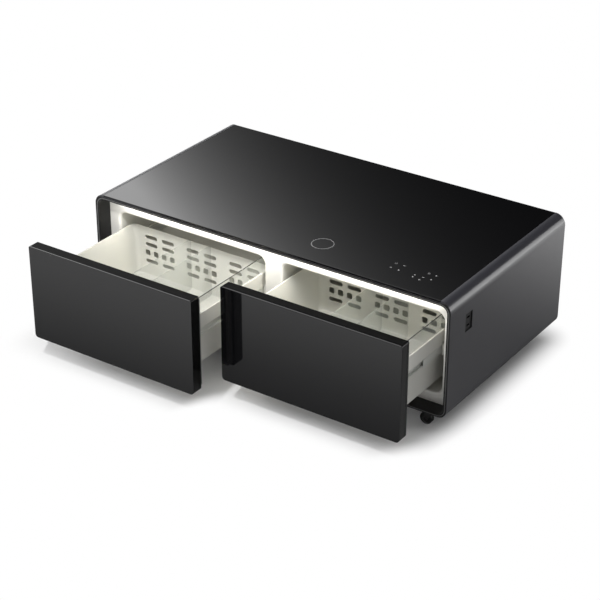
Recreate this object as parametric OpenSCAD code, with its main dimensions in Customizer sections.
// Coffee table with two refrigerated pull-out drawers, in millimetres.
// X runs along the front, Y to the back and Z up from the floor.
// The drawers stand open at rest, each by its own pull, and the origin is the
// middle of the whole footprint, open drawers included.

/* [Cabinet] */
// Width over the two side walls
cab_w = 1300; // [1200:10:1500]
// Depth of the machine bay behind the foam, rear panel included
bay_d = 142; // [136:1:180]
// Height of the table top above the floor
cab_h = 450; // [440:2:500]
// Radius of the two upper long edges
edge_top_r = 35; // [24:1:45]
// Radius of the two lower long edges
edge_bottom_r = 30; // [20:1:40]
// Thickness of the shell's sheet
shell_t = 1.2; // [0.8:0.2:2]
// Thickness of the glass top
glass_t = 6; // [5:1:8]
// Play around the glass top
glass_gap = 0.5; // [0.3:0.1:1]
// Width of the return flange round the shell's rear opening
rear_flange_w = 14; // [12:1:18]
// How far the rear panel lies inside the rear edge
rear_inset = 3; // [3:0.5:6]
// Thickness of the rear panel
rear_panel_t = 1.5; // [1:0.5:3]

/* [Front rim] */
// Width of the rim at the sides
rim_side_t = 12; // [9:1:16]
// Height of the rim at the top, glass included
rim_top_t = 16; // [13:1:20]
// Height of the rim at the bottom
rim_bottom_t = 8; // [6:1:10]
// Depth of the recess that the drawer fronts close into
recess_d = 55; // [50:1:60]
// Width of the bright bead along the rim
bead_w = 3; // [2:0.5:4]
// Thickness of the white fascia at the bottom of the recess
fascia_t = 8; // [6:0.5:10]

/* [Cavities] */
// Inset of a cold cavity's sides from the ends of its drawer front
cavity_inset = 25.8; // [24:0.1:30]
// Margin of the fascia above a cavity
margin_top = 58; // [50:1:64]
// Margin of the fascia below a cavity
margin_bottom = 33; // [28:1:38]
// Radius of a cavity's corners
cavity_r = 25; // [12:1:30]
// Wall of the liner
liner_t = 2; // [1.5:0.5:3]
// Depth of the air duct behind the perforated cover
duct_d = 45; // [42:1:50]
// Thickness of the perforated cover
cover_t = 2; // [1.5:0.5:3]
// Foam behind the liners
foam_rear_t = 25; // [20:1:28]

/* [Drawer front] */
// Gap between the rim and the outer end of a drawer front
front_side_gap = 13; // [10:0.5:15]
// Gap between the two drawer fronts
front_mid_gap = 12.8; // [10:0.2:14]
// Finger gap above a drawer front
front_top_gap = 25; // [20:1:30]
// Gap below a drawer front
front_bottom_gap = 19; // [15:1:22]
// Thickness of a drawer front
front_t = 38; // [34:1:40]
// Thickness of the glass on a drawer front
front_glass_t = 4; // [3:1:5]
// Radius of a drawer front's upper corners
front_top_r = 4.5; // [3:0.5:6]
// Radius of a drawer front's lower corners
front_bottom_r = 12; // [9:0.5:14]
// Inset of the seal from the front's top
seal_inset_top = 14; // [12:0.5:15]
// Inset of the seal from the front's underside
seal_inset_bottom = 4; // [3:0.5:5]
// Inset of the seal from the front's ends
seal_inset_x = 10; // [8:0.5:12]
// Width of the seal
seal_w = 9.5; // [8:0.5:10]
// Gap that the seal keeps to the fascia when the drawer is shut
seal_gap = 0.5; // [0.3:0.1:1]

/* [Drawer tub] */
// Depth of the tub behind the front
tub_d = 416; // [390:2:430]
// Inset of the tub's upper band from the front's ends
tub_inset = 35; // [34:0.5:40]
// Step from the upper band in to the lower wall
tub_step = 12; // [11:0.5:14]
// Drop of the tub's rim below the cavity's top
tub_rim_drop = 58; // [56:1:70]
// Height of the tub's underside above the cavity's floor
tub_base_h = 35; // [30:1:40]
// Height of the upper band above the ledge inside
tub_band_h = 44; // [36:1:46]
// Wall of the tub
tub_t = 4; // [3:0.5:5]
// Radius of the tub's upright corners
tub_r = 22; // [14:1:28]
// Free depth behind the shut tub
tub_rear_gap = 32; // [15:1:40]
// Thickness of the clear panels
clear_t = 3; // [2:0.5:4]
// Height of the clear side panel above the tub's rim
gallery_h = 52; // [45:1:54]
// Height of the dividers above the tub's rim
divider_rise = 8; // [4:1:20]
// Play of the clear panels in the tub
clear_gap = 0.3; // [0.2:0.1:0.5]

/* [Runners] */
// Height of a runner
runner_h = 28; // [24:1:32]
// Thickness of a runner, its three members together
runner_t = 12.7; // [12:0.1:14]
// Length of each member of a runner
runner_l = 395; // [350:5:398]
// Running gap between the members
runner_gap = 0.3; // [0.2:0.1:0.5]
// Sheet of the members
runner_sheet = 1.5; // [1.2:0.1:1.8]
// How far the left drawer stands open
pull_left = 342; // [0:2:380]
// How far the right drawer stands open
pull_right = 220; // [0:2:340]

/* [Casters] */
// Diameter of a caster's wheel
wheel_d = 40; // [36:1:44]
// Width of a caster's wheel
wheel_w = 16; // [13:1:20]
// Distance from the swivel to the wheel's axle
caster_trail = 18; // [14:1:22]
// Gap between the wheel and the fork's crown
wheel_head_gap = 8; // [5:0.5:11]
// Thickness of the fork's crown
crown_t = 4.2; // [3:0.2:5]
// Running gap between the crown and the swivel's race
swivel_gap = 0.3; // [0.2:0.1:0.5]
// Height of the swivel's race
race_h = 11; // [9:0.5:13]
// Thickness of a caster's plate
caster_plate_t = 4.5; // [3:0.5:6]
// Distance of a caster's swivel from the cabinet's side
caster_inset_x = 74; // [60:1:90]
// Distance of a caster's swivel from the cabinet's front and rear
caster_inset_y = 51; // [46:1:70]

/* [Services] */
// Distance of the charging ring from the cabinet's front rim
ring_front = 110; // [95:1:150]
// Distance of the charging ring to the right of the middle
ring_right = 143; // [100:1:200]
// Diameter of the charging pad
pad_d = 69; // [60:1:80]
// Distance of the touch keys from the cabinet's right side
keys_side = 191; // [170:1:230]
// Distance of the touch keys from the cabinet's front rim
keys_front = 100; // [90:1:140]
// Height of the side outlet's opening
outlet_h = 59; // [50:1:66]
// Width of the side outlet's opening
outlet_w = 40; // [34:1:46]
// Distance of the side outlet from the front rim
outlet_front = 108; // [90:1:150]
// Distance of the side outlet's middle below the table top
outlet_drop = 102.5; // [90:0.5:130]
// Play of the compressor in front of and behind it
compressor_gap = 7.5; // [4:0.5:14]
// Diameter of the condenser's fan
fan_d = 110; // [90:1:116]
// Diameter of a cavity's fan
air_fan_d = 76; // [66:1:84]

/* [Hidden] */
$fn = 48;
// How far a cut runs past the face it opens
over = 1;
// Clearance between still pieces of the cabinet
seat_gap = 0.3;

// Heights, from the casters up
base_z = wheel_d + wheel_head_gap + crown_t + swivel_gap + race_h + caster_plate_t;
cab_d = front_t + tub_d + tub_rear_gap + duct_d + liner_t + foam_rear_t + bay_d;
front_y = -cab_d / 2;
rear_y = cab_d / 2;
fascia_y = front_y + recess_d;
sheet_z = cab_h - glass_t - shell_t;
recess_hw = cab_w / 2 - rim_side_t;
recess_z0 = base_z + rim_bottom_t;
recess_z1 = cab_h - rim_top_t;

// Drawer fronts, both alike
front_w = (cab_w - 2 * rim_side_t - 2 * front_side_gap - front_mid_gap) / 2;
front_z0 = recess_z0 + front_bottom_gap;
front_z1 = recess_z1 - front_top_gap;
drawer_cx = (front_mid_gap + front_w) / 2;
seal_t = recess_d - front_t - seal_gap;

// Cold cavities
cavity_w = front_w - 2 * cavity_inset;
cavity_z0 = recess_z0 + margin_bottom;
cavity_z1 = recess_z1 - margin_top;
cover_y = front_y + front_t + tub_d + tub_rear_gap;
duct_rear_y = cover_y + duct_d;
liner_rear_y = duct_rear_y + liner_t;
foam_rear_y = liner_rear_y + foam_rear_t;

// Rear panel and machine bay
panel_y1 = rear_y - rear_inset;
panel_y0 = panel_y1 - rear_panel_t;
flange_y0 = panel_y0 - shell_t;
tray_z0 = base_z + shell_t;
tray_t = 2;
tray_lip_h = 15;
bay_gap = 1.5;
screw_l = 9;
bay_y0 = foam_rear_y + bay_gap;
bay_y1 = panel_y1 - screw_l - bay_gap;
bay_mid_y = (bay_y0 + bay_y1) / 2;
bay_floor_z = tray_z0 + tray_t;

// The tub, in the drawer's own place: x from its middle, y from the front's face
tub_hw = front_w / 2 - tub_inset;
tub_low_hw = tub_hw - tub_step;
tub_y0 = front_t;
tub_y1 = front_t + tub_d;
tub_z0 = cavity_z0 + tub_base_h;
tub_z1 = cavity_z1 - tub_rim_drop;
band_z0 = tub_z1 - tub_band_h;

// Runners lie under the band, against the lower wall
runner_z1 = band_z0 - tub_t - seat_gap;
runner_z0 = runner_z1 - runner_h;
runner_x0 = tub_low_hw;
runner_x1 = runner_x0 + runner_t;
bed_lap = 4;
runner_start = 8;

// The whole footprint's middle, open drawers included
frame_y = max(pull_left, pull_right) / 2;

module placed() {
    translate([0, frame_y, 0])
        children();
}

// A solid drawn in X and Z and pulled along Y from y0 to y1
module along_y(y0, y1) {
    translate([0, y1, 0])
        rotate([90, 0, 0])
            linear_extrude(height = y1 - y0)
                children();
}

// A solid drawn in X and Y and pulled up from z0 to z1
module upright(z0, z1) {
    translate([0, 0, z0])
        linear_extrude(height = z1 - z0)
            children();
}

// A rectangle from x0 to x1 and y0 to y1 with round corners: r0 at y0, r1 at y1
module round_rect(x0, x1, y0, y1, r0, r1) {
    for (x = [x0 + r0, x1 - r0])
        translate([x, y0 + r0])
            circle(r = r0);
    for (x = [x0 + r1, x1 - r1])
        translate([x, y1 - r1])
            circle(r = r1);
    translate([x0 + r0, y0])
        square([x1 - x0 - 2 * r0, r0]);
    translate([x0 + r1, y1 - r1])
        square([x1 - x0 - 2 * r1, r1]);
    translate([x0, y0 + r0])
        square([x1 - x0, y1 - y0 - r0 - r1]);
}

// The cabinet's outer profile, drawn in by an inset
module cabinet_profile(inset) {
    round_rect(-cab_w / 2 + inset, cab_w / 2 - inset, base_z + inset, cab_h - inset,
        edge_bottom_r - inset, edge_top_r - inset);
}

// Everything inside the shell's sheet
module inner_profile(inset) {
    intersection() {
        cabinet_profile(shell_t + inset);
        translate([-cab_w / 2, 0])
            square([cab_w, sheet_z - inset]);
    }
}

// The recess's opening
module recess_profile(grow) {
    round_rect(-recess_hw - grow, recess_hw + grow, recess_z0 - grow, recess_z1 + grow,
        edge_bottom_r - rim_bottom_t, edge_top_r - rim_side_t);
}

// One cavity's opening, grown by the liner's wall where asked
module cavity_profile(grow) {
    round_rect(-cavity_w / 2 - grow, cavity_w / 2 + grow, cavity_z0 - grow, cavity_z1 + grow,
        cavity_r + grow, cavity_r + grow);
}

module both_cavities() {
    for (side = [-1, 1])
        translate([side * drawer_cx, 0])
            children();
}

// The hole pattern of the rear panel's screws: [x, z]
screw_d = 4;
screw_hole_d = 4.6;
screw_head_d = 8;
screw_head_h = 2.2;
screw_in = rear_flange_w / 2 + shell_t;
screw_cols = 4;
screw_span = cab_w - 2 * edge_top_r - 2 * screw_in;
function screw_points() = [
    for (i = [0 : screw_cols - 1])
        for (z = [base_z + screw_in, sheet_z - rear_flange_w / 2])
            [-screw_span / 2 + i * screw_span / (screw_cols - 1), z]
];

/* Sub-parts of the cabinet */

outlet_y = front_y + outlet_front;
outlet_z = cab_h - outlet_drop;
outlet_gap = 0.4;
ring_y = front_y + ring_front;
keys_x = cab_w / 2 - keys_side;
keys_y = front_y + keys_front;
board_w = 150;
board_l = 62;
pad_gap = 0.8;

// Painted sheet wrapped round the cabinet, with a tray in its top for the glass
module outer_shell() {
    color("#35363a")
        difference() {
            union() {
                along_y(front_y, rear_y)
                    difference() {
                        cabinet_profile(0);
                        inner_profile(0);
                    }
                along_y(flange_y0, panel_y0)
                    difference() {
                        inner_profile(0);
                        inner_profile(rear_flange_w);
                    }
            }
            translate([-cab_w / 2 + edge_top_r, front_y - over, cab_h - glass_t])
                cube([cab_w - 2 * edge_top_r, cab_d + 2 * over, glass_t + over]);
            translate([ring_right, ring_y, sheet_z - over])
                cylinder(d = pad_d + 2 * pad_gap, h = shell_t + 2 * over);
            translate([keys_x - board_w / 2 - pad_gap, keys_y - board_l / 2 - pad_gap, sheet_z - over])
                cube([board_w + 2 * pad_gap, board_l + 2 * pad_gap, shell_t + 2 * over]);
            translate([cab_w / 2 - shell_t - over, outlet_y - outlet_w / 2, outlet_z - outlet_h / 2])
                cube([shell_t + 2 * over, outlet_w, outlet_h]);
            for (p = screw_points())
                translate([p[0], panel_y0 + over, p[1]])
                    rotate([90, 0, 0])
                        cylinder(d = screw_hole_d, h = shell_t + 2 * over);
        }
}

// Black glass that lies flush in the top
module glass_top() {
    glass_w = cab_w - 2 * edge_top_r - 2 * glass_gap;
    color("#141416")
        translate([-glass_w / 2, front_y + glass_gap, cab_h - glass_t])
            cube([glass_w, cab_d - 2 * glass_gap, glass_t]);
}

// Where the bead lies in the rim, as a share of the rim's width from its outer edge
bead_share = 0.5;

module bead_line(extra) {
    difference() {
        rim_ring(bead_share, bead_w / 2 + extra);
        rim_ring(bead_share, -bead_w / 2 - extra);
    }
}

// The outline that lies a share of the way from the shell's inside to the recess
module rim_ring(share, grow) {
    side = shell_t + (rim_side_t - shell_t) * share - grow;
    top = cab_h - sheet_z + (rim_top_t - (cab_h - sheet_z)) * share - grow;
    bottom = shell_t + (rim_bottom_t - shell_t) * share - grow;
    round_rect(-cab_w / 2 + side, cab_w / 2 - side, base_z + bottom, cab_h - top,
        edge_bottom_r - bottom, edge_top_r - side);
}

// Black surround that lines the recess and shows as the front rim
bead_depth = 1.5;
module front_trim() {
    color("#1c1c1e")
        difference() {
            along_y(front_y, fascia_y)
                difference() {
                    inner_profile(0);
                    recess_profile(0);
                }
            along_y(front_y - over, front_y + bead_depth)
                bead_line(0);
        }
}

// Satin bead let into the rim
module trim_bead() {
    color("#707276")
        along_y(front_y, front_y + bead_depth)
            bead_line(0);
}

// White plate round the two openings
module fascia() {
    color("#eceae4")
        along_y(fascia_y, fascia_y + fascia_t)
            difference() {
                inner_profile(0);
                both_cavities()
                    cavity_profile(0);
            }
}

// Beds on the liner's walls that bring the runners out to the tub
bed_x0 = runner_x1;
pipe_d = 6;
pipe_gap = 0.4;
pipe_lead = 22;
pipe_drop = 40;
pipe_z = cavity_z1 - pipe_drop;
pad_h = 7;
board_pocket = 8;

module liner(side) {
    color("#e4e2da")
        translate([side * drawer_cx, 0, 0])
            difference() {
                union() {
                    difference() {
                        along_y(fascia_y + fascia_t, liner_rear_y)
                            cavity_profile(liner_t);
                        along_y(fascia_y, duct_rear_y)
                            cavity_profile(0);
                    }
                    for (m = [0, 1])
                        mirror([m, 0, 0])
                            translate([bed_x0, fascia_y + fascia_t, runner_z0 - bed_lap])
                                cube([cavity_w / 2 + liner_t / 2 - bed_x0,
                                    runner_l + runner_start, runner_h + 2 * bed_lap]);
                }
                for (s = [-1, 1])
                    translate([riser_x + s * pipe_lead / 2, liner_rear_y + over, pipe_height(s)])
                        rotate([90, 0, 0])
                            cylinder(d = pipe_d + 2 * pipe_gap, h = liner_t + 2 * over);
            }
}

// Side outlet's housing reaches this far in from the shell
outlet_depth = 30;

// Foam that fills the space between the shell and the liners
module foam_insulation() {
    color("#d9cf9a")
        difference() {
            along_y(fascia_y + fascia_t, foam_rear_y)
                difference() {
                    inner_profile(0);
                    both_cavities()
                        cavity_profile(liner_t);
                }
            for (side = [-1, 1])
                for (s = [-1, 1])
                    translate([pipe_place(side, s), foam_rear_y + over, pipe_height(s)])
                        rotate([90, 0, 0])
                            cylinder(d = pipe_d + 2 * pipe_gap, h = foam_rear_t + 2 * over);
            translate([ring_right, ring_y, sheet_z - pad_h])
                cylinder(d = pad_d + 2 * pad_gap, h = pad_h + over);
            translate([keys_x - board_w / 2 - pad_gap, keys_y - board_l / 2 - pad_gap,
                sheet_z - board_pocket])
                cube([board_w + 2 * pad_gap, board_l + 2 * pad_gap, board_pocket + over]);
            translate([cab_w / 2 - outlet_face_inset - outlet_depth - seat_gap, outlet_y - outlet_w / 2,
                outlet_z - outlet_h / 2])
                cube([outlet_depth + outlet_face_inset + 2 * over, outlet_w, outlet_h]);
        }
}

// Steel panel that closes the machine bay, with louvre slots
slot_w = 70;
slot_h = 5;
slot_pitch_x = 84;
slot_pitch_z = 13;
slot_cols = 5;
slot_rows = 12;
vent_x_share = 0.22;
inlet_w = 48;
inlet_h = 28;
inlet_side = 98;
inlet_lift = 60;
inlet_flange_w = 4;
inlet_flange_lap = 1;
inlet_x = -cab_w / 2 + inlet_side;
inlet_z = base_z + inlet_lift;

module stadium(w, h) {
    for (x = [-1, 1])
        translate([x * (w - h) / 2, 0])
            circle(d = h);
    square([w - h, h], center = true);
}

module back_panel() {
    color("#2a2b2e")
        difference() {
            along_y(panel_y0, panel_y1)
                inner_profile(seat_gap);
            along_y(panel_y0 - over, panel_y1 + over) {
                for (side = [-1, 1])
                    for (i = [0 : slot_cols - 1])
                        for (j = [0 : slot_rows - 1])
                            translate([side * vent_x_share * cab_w + (i - (slot_cols - 1) / 2) * slot_pitch_x,
                                (base_z + cab_h) / 2 + (j - (slot_rows - 1) / 2) * slot_pitch_z])
                                stadium(slot_w, slot_h);
                translate([inlet_x, inlet_z])
                    square([inlet_w - 2 * inlet_flange_w, inlet_h - 2 * inlet_flange_lap], center = true);
            }
            for (p = screw_points())
                translate([p[0], panel_y1 + over, p[1]])
                    rotate([90, 0, 0])
                        cylinder(d = screw_hole_d, h = rear_panel_t + 2 * over);
        }
}

// Eight screws that hold the rear panel to the flange
module panel_screws() {
    color("#b8babd")
        for (p = screw_points())
            translate([p[0], panel_y1 + screw_head_h, p[1]])
                rotate([90, 0, 0]) {
                    cylinder(d = screw_head_d, h = screw_head_h);
                    translate([0, 0, screw_head_h])
                        cylinder(d = screw_d, h = screw_l);
                }
}

// Steel tray on the machine bay's floor, with a lip all round
module base_tray() {
    tray_hw = cab_w / 2 - edge_bottom_r - shell_t;
    color("#8d9094")
        translate([-tray_hw, bay_y0, tray_z0])
            difference() {
                cube([2 * tray_hw, bay_y1 - bay_y0, tray_lip_h]);
                translate([tray_t, tray_t, tray_t])
                    cube([2 * (tray_hw - tray_t), bay_y1 - bay_y0 - 2 * tray_t, tray_lip_h]);
            }
}

/* Cooling circuit */

compressor_side = 215;
compressor_x = -cab_w / 2 + compressor_side;
compressor_h = 128;
compressor_round = 24;
foot_h = 12;
foot_d = 18;
foot_w = 150;
foot_in = 8;
compressor_d = bay_y1 - bay_y0 - 2 * compressor_gap;
foot_l = compressor_d - 2 * foot_in;
foot_t = 3;
stub_spread = 25;
compressor_top = bay_floor_z + foot_h + foot_t + compressor_h;

// Sealed compressor on a foot plate with four rubber feet
module compressor() {
    color("#1e1f21")
        translate([compressor_x, bay_mid_y, bay_floor_z]) {
            for (x = [-1, 1])
                for (y = [-1, 1])
                    translate([x * (foot_w - foot_d) / 2, y * (foot_l - foot_d) / 2, 0])
                        cylinder(d = foot_d, h = foot_h);
            translate([-foot_w / 2, -foot_l / 2, foot_h])
                cube([foot_w, foot_l, foot_t]);
            translate([0, 0, foot_h + foot_t])
                rotate_extrude()
                    intersection() {
                        round_rect(-compressor_d / 2, compressor_d / 2, 0, compressor_h,
                            compressor_round, compressor_round);
                        square([compressor_d, compressor_h]);
                    }
        }
}

// A block of upright fins on level tubes
module fin_block(w, d, h, fins, rows, fin_sheet) {
    for (i = [0 : fins - 1])
        translate([-w / 2 + i * (w - fin_sheet) / (fins - 1), 0, 0])
            cube([fin_sheet, d, h]);
    for (j = [0 : rows - 1])
        translate([-w / 2, d / 2, (j + 1 / 2) * h / rows])
            rotate([0, 90, 0])
                cylinder(d = pipe_d, h = w);
}

condenser_w = 250;
condenser_t = 26;
condenser_h = 196;
condenser_fins = 22;
condenser_rows = 5;
condenser_fin_sheet = 1.2;
condenser_top = bay_floor_z + condenser_h;
pipe_ends = 105;
fan_frame = fan_d + 14;
fan_depth = 26;
fan_tip_gap = 2;
fan_end_gap = 2;
fan_hub_share = 0.36;
fan_pin_d = 4;
fan_pin_gap = 0.05;
fan_strut_w = 6;
fan_strut_t = 4;
fan_motor_t = 7;
fan_z = bay_floor_z + condenser_h / 2;
fan_y1 = bay_y1 - tray_t;
fan_y0 = fan_y1 - fan_depth;
condenser_y0 = fan_y0 - condenser_t;

// Finned heat exchanger in front of its fan
module condenser() {
    color("#a9adb2")
        translate([0, condenser_y0, bay_floor_z]) {
            fin_block(condenser_w, condenser_t, condenser_h, condenser_fins,
                condenser_rows, condenser_fin_sheet);
            for (x = [-pipe_ends, pipe_ends])
                translate([x, condenser_t / 2, condenser_h * (1 - 1 / (2 * condenser_rows))])
                    cylinder(d = pipe_d, h = condenser_h / (2 * condenser_rows));
        }
}

// Struts, motor and pin that carry a fan's rotor; the pin points to -Y
module fan_mount(d, span, depth) {
    along_y(-fan_strut_t, 0)
        for (a = [45, 135])
            rotate(a)
                square([span, fan_strut_w], center = true);
    rotate([90, 0, 0])
        cylinder(d = d * fan_hub_share, h = fan_motor_t);
    rotate([90, 0, 0])
        cylinder(d = fan_pin_d, h = depth);
}

// A hub with tilted blades, bored for the pin; it lies from y0 to y1
fan_blades = 7;
blade_t = 1.6;
blade_tilt = 35;
module fan_rotor(d, y0, y1) {
    difference() {
        union() {
            translate([0, y1, 0])
                rotate([90, 0, 0])
                    cylinder(d = d * fan_hub_share, h = y1 - y0);
            for (i = [0 : fan_blades - 1])
                rotate([0, i * 360 / fan_blades, 0])
                    translate([d * fan_hub_share / 4, (y0 + y1) / 2, 0])
                        rotate([blade_tilt, 0, 0])
                            translate([0, -(y1 - y0) / 2, -blade_t / 2])
                                cube([d / 2 - d * fan_hub_share / 4, y1 - y0, blade_t]);
        }
        translate([0, y1 + over, 0])
            rotate([90, 0, 0])
                cylinder(d = fan_pin_d + 2 * fan_pin_gap, h = y1 - y0 + 2 * over);
    }
}

// Square frame round the condenser's fan, on a stand from the tray
module fan_shroud() {
    color("#202124")
        translate([0, 0, fan_z]) {
            along_y(fan_y0, fan_y1)
                difference() {
                    square([fan_frame, fan_frame], center = true);
                    circle(d = fan_d + 2 * fan_tip_gap);
                }
            translate([0, fan_y1, 0])
                fan_mount(fan_d, fan_d + 3 * fan_tip_gap, fan_depth - fan_strut_t);
            for (x = [-1, 1])
                translate([x * (fan_frame - fan_strut_w) / 2 - fan_strut_w / 2, fan_y0, bay_floor_z - fan_z])
                    cube([fan_strut_w, fan_depth, fan_z - bay_floor_z - fan_frame / 2]);
        }
}

rotor_y1 = fan_y1 - fan_motor_t - seat_gap;
rotor_y0 = fan_y0 + fan_strut_t;
module condenser_fan() {
    color("#2c2d30")
        translate([0, 0, fan_z])
            fan_rotor(fan_d, rotor_y0, rotor_y1);
}

// Evaporators stand in the ducts behind the covers
evaporator_w = 420;
evaporator_h = 118;
evaporator_lift = 8;
evaporator_front_gap = 5;
evaporator_fins = 20;
evaporator_rows = 3;
evaporator_fin_sheet = 1;
riser_x = 150;
liquid_drop = 16;
evaporator_d = duct_d - cover_t - evaporator_front_gap;
evaporator_y = duct_rear_y - evaporator_d / 2;
evaporator_end_t = 4;

module evaporators() {
    tube_z = evaporator_lift + evaporator_h * (1 - 1 / (2 * evaporator_rows));
    color("#c3c6c9")
        for (side = [-1, 1])
            translate([side * drawer_cx, duct_rear_y - evaporator_d, cavity_z0]) {
                translate([0, 0, evaporator_lift])
                    fin_block(evaporator_w, evaporator_d, evaporator_h, evaporator_fins,
                        evaporator_rows, evaporator_fin_sheet);
                for (x = [-evaporator_w / 2, evaporator_w / 2 - evaporator_end_t])
                    translate([x, 0, 0])
                        cube([evaporator_end_t, evaporator_d, evaporator_lift + evaporator_h]);
                for (s = [-1, 1])
                    translate([riser_x + s * pipe_lead / 2, evaporator_d / 2, tube_z])
                        cylinder(d = pipe_d, h = pipe_height(s) - cavity_z0 - pipe_d - tube_z);
            }
}

// Suction line is the upper one of a pair, liquid line the lower
function pipe_height(s) = pipe_z - (s > 0 ? liquid_drop : 0);
function pipe_place(side, s) = side * drawer_cx + riser_x + s * pipe_lead / 2;

// A run of tube through a list of points, with round elbows
module tube_run(points) {
    for (i = [0 : len(points) - 2]) {
        d = points[i + 1] - points[i];
        translate(points[i])
            rotate([0, acos(d[2] / norm(d)), atan2(d[1], d[0])])
                cylinder(d = pipe_d, h = norm(d));
    }
    for (i = [1 : 1 : len(points) - 2])
        translate(points[i])
            sphere(d = pipe_d);
}

run_y = foam_rear_y + 2 * pipe_d;
drier_d = 18;
drier_l = 80;
drier_x = 60;

// A pair of lines comes out of each cavity; suction goes to the compressor and
// liquid comes from the condenser by way of a drier
module refrigerant_pipes() {
    condenser_y = condenser_y0 + condenser_t / 2;
    suction_z = pipe_height(-1);
    liquid_z = pipe_height(1);
    suction_x = compressor_x - stub_spread;
    hot_x = compressor_x + stub_spread;
    color("#b4703f") {
        for (side = [-1, 1])
            for (s = [-1, 1])
                tube_run([
                    [pipe_place(side, s), evaporator_y, pipe_height(s) - pipe_d],
                    [pipe_place(side, s), evaporator_y, pipe_height(s)],
                    [pipe_place(side, s), run_y, pipe_height(s)]
                ]);
        tube_run([
            [pipe_place(1, -1), run_y, suction_z],
            [suction_x, run_y, suction_z],
            [suction_x, bay_mid_y, suction_z],
            [suction_x, bay_mid_y, compressor_top]
        ]);
        tube_run([
            [pipe_place(1, 1), run_y, liquid_z],
            [pipe_place(-1, 1), run_y, liquid_z]
        ]);
        tube_run([
            [pipe_ends, run_y, liquid_z],
            [pipe_ends, condenser_y, liquid_z],
            [pipe_ends, condenser_y, condenser_top]
        ]);
        tube_run([
            [hot_x, bay_mid_y, compressor_top],
            [hot_x, bay_mid_y, liquid_z],
            [hot_x, condenser_y, liquid_z],
            [-pipe_ends, condenser_y, liquid_z],
            [-pipe_ends, condenser_y, condenser_top]
        ]);
        for (x = [pipe_place(1, 1), pipe_place(-1, 1)])
            translate([x, run_y, liquid_z])
                sphere(d = pipe_d);
        translate([pipe_place(1, -1), run_y, suction_z])
            sphere(d = pipe_d);
        translate([pipe_ends + drier_x, run_y, liquid_z])
            rotate([0, 90, 0])
                cylinder(d = drier_d, h = drier_l);
    }
}

/* Air covers and fans inside the cavities */

air_fan_drop = 58;
air_fan_z = cavity_z1 - air_fan_drop;
air_fan_depth = 20;
air_slot_w = 46;
air_slot_h = 10;
air_slot_cols = 6;
air_slot_rows = 4;
air_slot_pitch_x_share = 0.1375;
air_slot_pitch_z_share = 0.0975;
air_slot_lift_share = 0.127;
air_pin_h = fan_motor_t + air_fan_depth - fan_end_gap;

module duct_covers() {
    color("#e9e7e0")
        for (side = [-1, 1])
            translate([side * drawer_cx, 0, 0]) {
                along_y(cover_y, cover_y + cover_t)
                    difference() {
                        round_rect(-cavity_w / 2 + seat_gap, cavity_w / 2 - seat_gap,
                            cavity_z0 + seat_gap, cavity_z1 - seat_gap, cavity_r, cavity_r);
                        air_slots();
                        translate([0, air_fan_z])
                            difference() {
                                circle(d = air_fan_d);
                                for (a = [45, 135])
                                    rotate(a)
                                        square([air_fan_d, fan_strut_w], center = true);
                                circle(d = air_fan_d * fan_hub_share);
                            }
                    }
                translate([0, cover_y + cover_t, air_fan_z])
                    rotate([-90, 0, 0]) {
                        cylinder(d = air_fan_d * fan_hub_share, h = fan_motor_t);
                        cylinder(d = fan_pin_d, h = air_pin_h);
                    }
            }
}

module air_slots() {
    for (i = [0 : air_slot_cols - 1])
        for (j = [0 : air_slot_rows - 1])
            translate([(i - (air_slot_cols - 1) / 2) * air_slot_pitch_x_share * cavity_w,
                cavity_z0 + (air_slot_lift_share + j * air_slot_pitch_z_share) * (cavity_z1 - cavity_z0)])
                stadium(air_slot_w, air_slot_h);
}

module air_fan(side) {
    y0 = cover_y + cover_t + fan_motor_t + seat_gap;
    color("#d4d6d8")
        translate([side * drawer_cx, 0, air_fan_z])
            fan_rotor(air_fan_d - 2 * fan_tip_gap, y0, y0 + air_fan_depth - fan_end_gap);
}

/* Electrics */

board_t = 1.6;
board_side = 200;
board_x = cab_w / 2 - board_side;
board_frame_w = 180;
board_frame_h = 110;
board_stand = 8;
post_d = 6;
capacitor_d = 18;
capacitor_h = 24;
capacitor_pitch = 25;
transformer_w = 44;
transformer_h = 36;
transformer_t = 28;
chip_t = 4;

// Main board upright on a steel bracket that stands in the tray
module control_board() {
    y0 = bay_mid_y;
    color("#2f5d3c")
        translate([board_x, y0, bay_floor_z]) {
            translate([-board_frame_w / 2, 0, 0])
                cube([board_frame_w, tray_t, board_frame_h]);
            translate([-board_frame_w / 2, 0, 0])
                cube([board_frame_w, bay_y1 - tray_t - y0, tray_t]);
            for (x = [-1, 1])
                for (z = [-1, 1])
                    translate([x * (board_frame_w / 2 - 2 * post_d), 0,
                        board_frame_h / 2 + z * (board_frame_h / 2 - 2 * post_d)])
                        rotate([90, 0, 0])
                            cylinder(d = post_d, h = board_stand);
            translate([-board_frame_w / 2 + post_d, -board_stand - board_t, post_d])
                cube([board_frame_w - 2 * post_d, board_t, board_frame_h - 2 * post_d]);
            for (i = [0 : 2])
                translate([-board_frame_w / 2 + (i + 1) * capacitor_pitch, -board_stand - board_t,
                    board_frame_h / 2])
                    rotate([90, 0, 0])
                        cylinder(d = capacitor_d, h = capacitor_h);
            translate([board_frame_w / 2 - transformer_w - 2 * post_d, -board_stand - board_t - transformer_t,
                board_frame_h / 3])
                cube([transformer_w, transformer_t, transformer_h]);
            translate([0, -board_stand - board_t - chip_t, 2 * post_d])
                cube([transformer_h, chip_t, capacitor_d]);
        }
}

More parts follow.
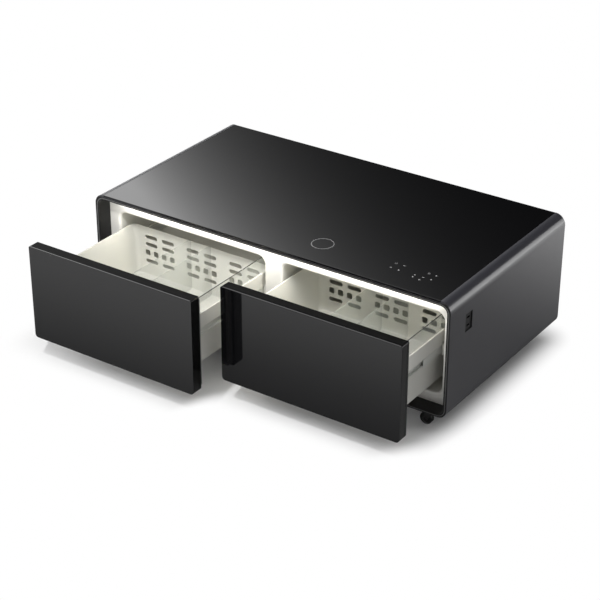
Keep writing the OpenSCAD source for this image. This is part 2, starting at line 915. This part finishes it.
// Key sensors right under the glass
key_d = 8;
key_gap = 15;
key_pitch = 19.5;
key_h = 4.5;
keys_far = 7;
keys_near = 6;
module touch_board() {
    top_z = cab_h - glass_t - seat_gap;
    color("#1f6b45")
        translate([keys_x, keys_y, top_z - key_h]) {
            translate([-board_w / 2, -board_l / 2, -board_t])
                cube([board_w, board_l, board_t]);
            for (i = [0 : keys_far - 1])
                translate([(i - (keys_far - 1) / 2) * key_pitch, key_gap, 0])
                    cylinder(d = key_d, h = key_h);
            for (i = [0 : keys_near - 1])
                translate([(i - (keys_near - 1) / 2) * key_pitch, -key_gap, 0])
                    cylinder(d = key_d, h = key_h);
        }
}

// Charging coil in its dish under the ring mark
pad_rim_h = 2;
coil_d = 48;
coil_hole_d = 20;
module charging_pad() {
    top_z = cab_h - glass_t - seat_gap;
    color("#3a3b3e")
        translate([ring_right, ring_y, top_z]) {
            translate([0, 0, -pad_h])
                cylinder(d = pad_d, h = pad_h - pad_rim_h);
            translate([0, 0, -pad_rim_h])
                difference() {
                    cylinder(d = pad_d, h = pad_rim_h);
                    translate([0, 0, -over])
                        cylinder(d = pad_d - 2 * pad_rim_h, h = pad_rim_h + 2 * over);
                }
            translate([0, 0, -pad_rim_h])
                difference() {
                    cylinder(d = coil_d, h = pad_rim_h);
                    translate([0, 0, -over])
                        cylinder(d = coil_hole_d, h = pad_rim_h + 2 * over);
                }
        }
}

// Light bar under the top of the recess
led_w = 8;
led_h = 3;
led_reach_share = 0.86;
module led_strip() {
    color("#fff3c4")
        translate([-led_reach_share * cab_w / 2, fascia_y - led_w, recess_z1 - led_h])
            cube([led_reach_share * cab_w, led_w, led_h]);
}

// Side outlet with two sockets, set back in the shell inside a narrow rim
outlet_face_inset = 3;
outlet_rim_inset = 0.3;
outlet_rim_w = 1.6;
port_w = 15;
port_h = 7;
port_deep = 13;
port_rise = 13;
module outlet_panel() {
    face_x = cab_w / 2 - outlet_face_inset;
    w = outlet_w - 2 * outlet_gap;
    h = outlet_h - 2 * outlet_gap;
    face_w = w - 2 * outlet_rim_w;
    face_h = h - 2 * outlet_rim_w;
    color("#101012")
        difference() {
            translate([face_x - outlet_depth, outlet_y - w / 2, outlet_z - h / 2])
                cube([outlet_depth + outlet_face_inset - outlet_rim_inset, w, h]);
            translate([face_x, outlet_y - face_w / 2, outlet_z - face_h / 2])
                cube([outlet_face_inset, face_w, face_h]);
            for (z = [-1, 1])
                translate([face_x - port_deep, outlet_y - port_w / 2, outlet_z + z * port_rise - port_h / 2])
                    cube([port_deep + over, port_w, port_h]);
        }
}

// Mains inlet in the rear panel
inlet_flange_t = 2;
inlet_body_l = 24;
inlet_hole_w = 25;
inlet_hole_h = 17;
inlet_hole_l = 16;
inlet_pin_w = 2;
inlet_pin_back = 6;
inlet_pin_h = 4;
module power_inlet() {
    color("#151517")
        translate([inlet_x, panel_y1, inlet_z]) {
            difference() {
                union() {
                    along_y(0, inlet_flange_t)
                        round_rect(-inlet_w / 2, inlet_w / 2, -inlet_h / 2 - inlet_flange_w,
                            inlet_h / 2 + inlet_flange_w, inlet_flange_w, inlet_flange_w);
                    along_y(-inlet_body_l, 0)
                        square([inlet_w - 2 * inlet_flange_w - 2 * seat_gap,
                            inlet_h - 2 * inlet_flange_lap - 2 * seat_gap], center = true);
                }
                along_y(inlet_flange_t - inlet_hole_l, inlet_flange_t + over)
                    square([inlet_hole_w, inlet_hole_h], center = true);
            }
            for (i = [-1 : 1])
                translate([i * inlet_hole_w / 4, 0, -inlet_pin_h * abs(i) + inlet_pin_h / 2])
                    along_y(inlet_flange_t - inlet_hole_l, -inlet_pin_back)
                        square([inlet_pin_w, inlet_pin_h], center = true);
        }
}

/* Runners: three nested channels on each side of a tub */

runner_y0 = fascia_y + fascia_t + runner_start;
runner_y1 = runner_y0 + runner_l;
inner_start = 4;
inner_y0 = front_y + front_t + inner_start;
inner_y1 = front_y + tub_y1;
member_lap = 2.5;
outer_x0 = runner_x0 + member_lap;
middle_x1 = runner_x1 - runner_sheet - runner_gap;
inner_x1 = middle_x1 - runner_sheet - runner_gap;
nest = runner_sheet + runner_gap;

// A channel with its web at x1 (side 1) or at x0 (side -1)
module channel(x0, x1, z0, z1, web_side, y0, y1) {
    along_y(y0, y1)
        difference() {
            translate([x0, z0])
                square([x1 - x0, z1 - z0]);
            translate([web_side > 0 ? x0 - over : x0 + runner_sheet, z0 + runner_sheet])
                square([x1 - x0 - runner_sheet + over, z1 - z0 - 2 * runner_sheet]);
        }
}

module pair(side, pull) {
    translate([side * drawer_cx, -pull, 0])
        for (m = [0, 1])
            mirror([m, 0, 0])
                children();
}

module runner_outer(side) {
    color("#a4a7aa")
        pair(side, 0)
            channel(outer_x0, runner_x1, runner_z0, runner_z1, 1, runner_y0, runner_y1);
}

module runner_middle(side, pull) {
    color("#b4b7ba")
        pair(side, pull / 2)
            channel(outer_x0, middle_x1, runner_z0 + nest, runner_z1 - nest, 1, runner_y0, runner_y1);
}

// The inner member starts close behind the front and ends with the tub
module runner_inner(side, pull) {
    color("#c4c7ca")
        pair(side, pull)
            channel(runner_x0, inner_x1, runner_z0 + 2 * nest, runner_z1 - 2 * nest, -1, inner_y0, inner_y1);
}

/* Drawers */

module drawer_place(side, pull) {
    translate([side * drawer_cx, front_y - pull, 0])
        children();
}

front_half = front_w / 2;
frame_wall = 3;
frame_end_wall = 8;
core_half = front_half - frame_end_wall;
seam_w = 1.2;
seam_deep = 1;
seam_back = 9;

// A slice of the drawer front, with its round corners
module front_slice(y0, y1) {
    along_y(y0, y1)
        round_rect(-front_half, front_half, front_z0, front_z1, front_bottom_r, front_top_r);
}

// Glass over the whole face of the front
module front_glass(side, pull) {
    color("#17181a")
        drawer_place(side, pull)
            front_slice(0, front_glass_t);
}

// The frame's hollow, which the core fills
module core_block(y0) {
    translate([-core_half, y0, front_z0 + frame_wall])
        cube([2 * core_half, front_t - frame_wall - y0, front_z1 - front_z0 - 2 * frame_wall]);
}

// Hollow frame behind the glass, with a fine seam down each end
module front_frame(side, pull) {
    color("#232427")
        drawer_place(side, pull)
            difference() {
                front_slice(front_glass_t, front_t);
                core_block(0);
                for (x = [-1, 1])
                    translate([x * front_half - seam_deep, front_t - seam_back - seam_w / 2,
                        front_z0 - over])
                        cube([2 * seam_deep, seam_w, front_z1 - front_z0 + 2 * over]);
            }
}

// Foam inside the frame
module front_core(side, pull) {
    color("#d9cf9a")
        drawer_place(side, pull)
            core_block(front_glass_t);
}

// Soft seal round the back of the front
seal_r = 9;
module door_seal(side, pull) {
    x1 = front_half - seal_inset_x;
    z0 = front_z0 + seal_inset_bottom;
    z1 = front_z1 - seal_inset_top;
    color("#8c8d8c")
        drawer_place(side, pull)
            along_y(front_t, front_t + seal_t)
                difference() {
                    round_rect(-x1, x1, z0, z1, seal_r, seal_r);
                    round_rect(-x1 + seal_w, x1 - seal_w, z0 + seal_w, z1 - seal_w, seal_r / 2, seal_r / 2);
                }
}

// Cool air slots in the tub's rear wall, in three groups
vent_drop_share = [0.2, 0.352, 0.695];
vent_square_share = 0.525;
vent_w = 49;
vent_h = 14;
vent_square = 20;
vent_square_r = 5;
vent_group_share = 0.6125;
vent_pair = 34;
vent_square_pitch = 33;
module tub_vents() {
    for (g = [-1 : 1])
        translate([g * vent_group_share * tub_hw, tub_z1]) {
            for (share = vent_drop_share)
                for (s = [-1, 1])
                    translate([s * vent_pair, -share * (tub_z1 - tub_z0)])
                        stadium(vent_w, vent_h);
            for (i = [-3 : 2 : 3])
                translate([i * vent_square_pitch / 2, -vent_square_share * (tub_z1 - tub_z0)])
                    round_rect(-vent_square / 2, vent_square / 2, -vent_square / 2, vent_square / 2,
                        vent_square_r, vent_square_r);
        }
}

// A level outline of the tub, with square front corners behind the front
module tub_plan(half, inset) {
    round_rect(-half + inset, half - inset, tub_y0 + inset, tub_y1 - inset, tub_front_r, tub_r - inset);
}

tub_front_r = 2;
tub_in_hw = tub_hw - tub_t;
tub_low_in_hw = tub_low_hw - tub_t;

// The tub's shell, with a step in its side walls
module tub_shell() {
    difference() {
        union() {
            upright(band_z0 - tub_t, tub_z1)
                tub_plan(tub_hw, 0);
            upright(tub_z0, band_z0)
                tub_plan(tub_low_hw, 0);
        }
        upright(band_z0, tub_z1 + over)
            tub_plan(tub_hw, tub_t);
        upright(tub_z0 + tub_t, band_z0 + over)
            tub_plan(tub_low_hw, tub_t);
    }
}

// Filling over the step, so that each wall slants smoothly inside
module tub_slants() {
    sunk = tub_t / 2;
    intersection() {
        upright(band_z0 - sunk, tub_z1)
            tub_plan(tub_hw, sunk);
        for (m = [0, 1])
            mirror([m, 0, 0])
                along_y(tub_y0, tub_y1)
                    polygon([[tub_low_in_hw, band_z0], [tub_low_in_hw + sunk, band_z0 - sunk],
                        [tub_in_hw + sunk, band_z0 - sunk], [tub_in_hw + sunk, tub_z1], [tub_in_hw, tub_z1]]);
    }
}

// White tub with a stepped side wall, slots at the rear and a slot for the clear panel
module tub(side, pull) {
    groove_w = clear_t + 2 * clear_gap;
    groove_y0 = tub_y0 + tub_t;
    groove_y1 = tub_y1 - tub_r + clear_gap;
    color("#f1efe9")
        drawer_place(side, pull)
            difference() {
                union() {
                    tub_shell();
                    tub_slants();
                }
                translate([tub_in_hw - groove_w, groove_y0, band_z0])
                    cube([groove_w, groove_y1 - groove_y0, tub_band_h + over]);
                along_y(tub_y1 - tub_t - over, tub_y1 + over)
                    tub_vents();
            }
}

// Clear panel in the slot of the tub's right wall
module gallery(side, pull) {
    x1 = tub_in_hw - clear_gap;
    y0 = tub_y0 + tub_t + clear_gap;
    y1 = tub_y1 - tub_r;
    color("#9aa3a0", 0.35)
        drawer_place(side, pull)
            translate([x1 - clear_t, y0, band_z0])
                cube([clear_t, y1 - y0, tub_z1 + gallery_h - band_z0]);
}

// Clear dividers that stand on the tub's floor
divider_share_left = [-0.066, 0.0615];
divider_share_right = [-0.053, 0.097];
module dividers(side, pull, places) {
    y0 = tub_y0 + tub_t + clear_gap;
    y1 = tub_y1 - tub_t - clear_gap;
    color("#9aa3a0", 0.35)
        drawer_place(side, pull)
            for (share = places)
                translate([share * front_w - clear_t / 2, y0, tub_z0 + tub_t])
                    cube([clear_t, y1 - y0, tub_z1 + divider_rise - tub_z0 - tub_t]);
}

/* Casters, each turned so that its wheel trails to the left */

caster_x = cab_w / 2 - caster_inset_x;
caster_y = cab_d / 2 - caster_inset_y;
kingpin_d = 8;
pin_gap = 0.05;
race_d = 34;
plate_w = 56;
plate_bolt_d = 9;
plate_bolt_h = 2;
plate_bolt_spread = 19;
crown_d = 36;
crown_z0 = wheel_d + wheel_head_gap;
crown_z1 = crown_z0 + crown_t;
race_z0 = crown_z1 + swivel_gap;
race_z1 = race_z0 + race_h;
axle_d = 8;
leg_t = 3;
leg_gap = 1;
leg_eye_d = 15;
tread_t = 3;
rim_gap_d = 28;
rim_deep = 2.5;

module at_caster(right, rear) {
    translate([right * caster_x, rear * caster_y, 0])
        children();
}

// Four plates with their races and bolts, under the cabinet
module caster_plates() {
    color("#1a1a1c")
        for (right = [-1, 1])
            for (rear = [-1, 1])
                at_caster(right, rear)
                    difference() {
                        union() {
                            translate([-plate_w / 2, -plate_w / 2, race_z1])
                                cube([plate_w, plate_w, caster_plate_t]);
                            translate([0, 0, race_z0])
                                cylinder(d = race_d, h = race_h);
                            for (x = [-1, 1])
                                for (y = [-1, 1])
                                    translate([x * plate_bolt_spread, y * plate_bolt_spread,
                                        race_z1 - plate_bolt_h])
                                        cylinder(d = plate_bolt_d, h = plate_bolt_h);
                        }
                        translate([0, 0, race_z0 - over])
                            cylinder(d = kingpin_d + 2 * pin_gap,
                                h = race_h + caster_plate_t - seat_gap + over);
                    }
}

// Crown, two legs and the kingpin that turns in the race
module fork(right, rear) {
    leg_y = wheel_w / 2 + leg_gap;
    color("#161618")
        at_caster(right, rear)
            difference() {
                union() {
                    translate([0, 0, crown_z0])
                        cylinder(d = crown_d, h = crown_t);
                    translate([0, 0, crown_z0])
                        cylinder(d = kingpin_d, h = crown_t + swivel_gap + race_h);
                    for (m = [0, 1])
                        mirror([0, m, 0])
                            along_y(leg_y, leg_y + leg_t) {
                                translate([-caster_trail, wheel_d / 2])
                                    circle(d = leg_eye_d);
                                polygon([
                                    [-crown_d / 2, crown_z1],
                                    [crown_d / 3, crown_z1],
                                    [crown_d / 3, crown_z0],
                                    [-caster_trail + leg_eye_d / 2, wheel_d / 2],
                                    [-caster_trail - leg_eye_d / 2, wheel_d / 2]
                                ]);
                            }
                    translate([-crown_d / 3, -leg_y, crown_z0])
                        cube([2 * crown_d / 3, 2 * leg_y, crown_t]);
                }
                translate([-caster_trail, leg_y + leg_t + over, wheel_d / 2])
                    rotate([90, 0, 0])
                        cylinder(d = axle_d, h = 2 * (leg_y + leg_t + over));
            }
}

// Axle through both legs
module axle(right, rear) {
    l = wheel_w + 2 * (leg_gap + leg_t);
    color("#9b9da0")
        at_caster(right, rear)
            translate([-caster_trail, l / 2, wheel_d / 2])
                rotate([90, 0, 0])
                    cylinder(d = axle_d, h = l);
}

// Wheel with a dished side, bored for the axle
module wheel(right, rear) {
    color("#0f0f10")
        at_caster(right, rear)
            translate([-caster_trail, 0, wheel_d / 2])
                rotate([90, 0, 0])
                    difference() {
                        rotate_extrude()
                            intersection() {
                                round_rect(-wheel_d / 2, wheel_d / 2, -wheel_w / 2, wheel_w / 2,
                                    tread_t, tread_t);
                                translate([0, -wheel_w / 2])
                                    square([wheel_d, wheel_w]);
                            }
                        translate([0, 0, -wheel_w])
                            cylinder(d = axle_d + 2 * pin_gap, h = 2 * wheel_w);
                        for (m = [0, 1])
                            mirror([0, 0, m])
                                translate([0, 0, wheel_w / 2 - rim_deep])
                                    difference() {
                                        cylinder(d = rim_gap_d, h = rim_deep + over);
                                        translate([0, 0, -over])
                                            cylinder(d = leg_eye_d, h = rim_deep + 3 * over);
                                    }
                    }
}

placed() outer_shell();
placed() glass_top();
placed() front_trim();
placed() trim_bead();
placed() fascia();
placed() liner(-1);  // left_liner
placed() liner(1);  // right_liner
placed() foam_insulation();
placed() back_panel();
placed() panel_screws();
placed() base_tray();
placed() compressor();
placed() condenser();
placed() fan_shroud();
placed() condenser_fan();
placed() refrigerant_pipes();
placed() evaporators();
placed() duct_covers();
placed() air_fan(-1);  // left_air_fan
placed() air_fan(1);  // right_air_fan
placed() control_board();
placed() touch_board();
placed() charging_pad();
placed() led_strip();
placed() outlet_panel();
placed() power_inlet();
placed() runner_outer(-1);  // left_runner_outer
placed() runner_outer(1);  // right_runner_outer
placed() runner_middle(-1, pull_left);  // left_runner_middle
placed() runner_middle(1, pull_right);  // right_runner_middle
placed() runner_inner(-1, pull_left);  // left_runner_inner
placed() runner_inner(1, pull_right);  // right_runner_inner
placed() front_glass(-1, pull_left);  // left_front_glass
placed() front_glass(1, pull_right);  // right_front_glass
placed() front_frame(-1, pull_left);  // left_front_frame
placed() front_frame(1, pull_right);  // right_front_frame
placed() front_core(-1, pull_left);  // left_front_core
placed() front_core(1, pull_right);  // right_front_core
placed() door_seal(-1, pull_left);  // left_door_seal
placed() door_seal(1, pull_right);  // right_door_seal
placed() tub(-1, pull_left);  // left_tub
placed() tub(1, pull_right);  // right_tub
placed() gallery(-1, pull_left);  // left_gallery
placed() gallery(1, pull_right);  // right_gallery
placed() dividers(-1, pull_left, divider_share_left);  // left_dividers
placed() dividers(1, pull_right, divider_share_right);  // right_dividers
placed() caster_plates();
placed() fork(-1, -1);  // front_left_fork
placed() fork(1, -1);  // front_right_fork
placed() fork(-1, 1);  // rear_left_fork
placed() fork(1, 1);  // rear_right_fork
placed() axle(-1, -1);  // front_left_axle
placed() axle(1, -1);  // front_right_axle
placed() axle(-1, 1);  // rear_left_axle
placed() axle(1, 1);  // rear_right_axle
placed() wheel(-1, -1);  // front_left_wheel
placed() wheel(1, -1);  // front_right_wheel
placed() wheel(-1, 1);  // rear_left_wheel
placed() wheel(1, 1);  // rear_right_wheel
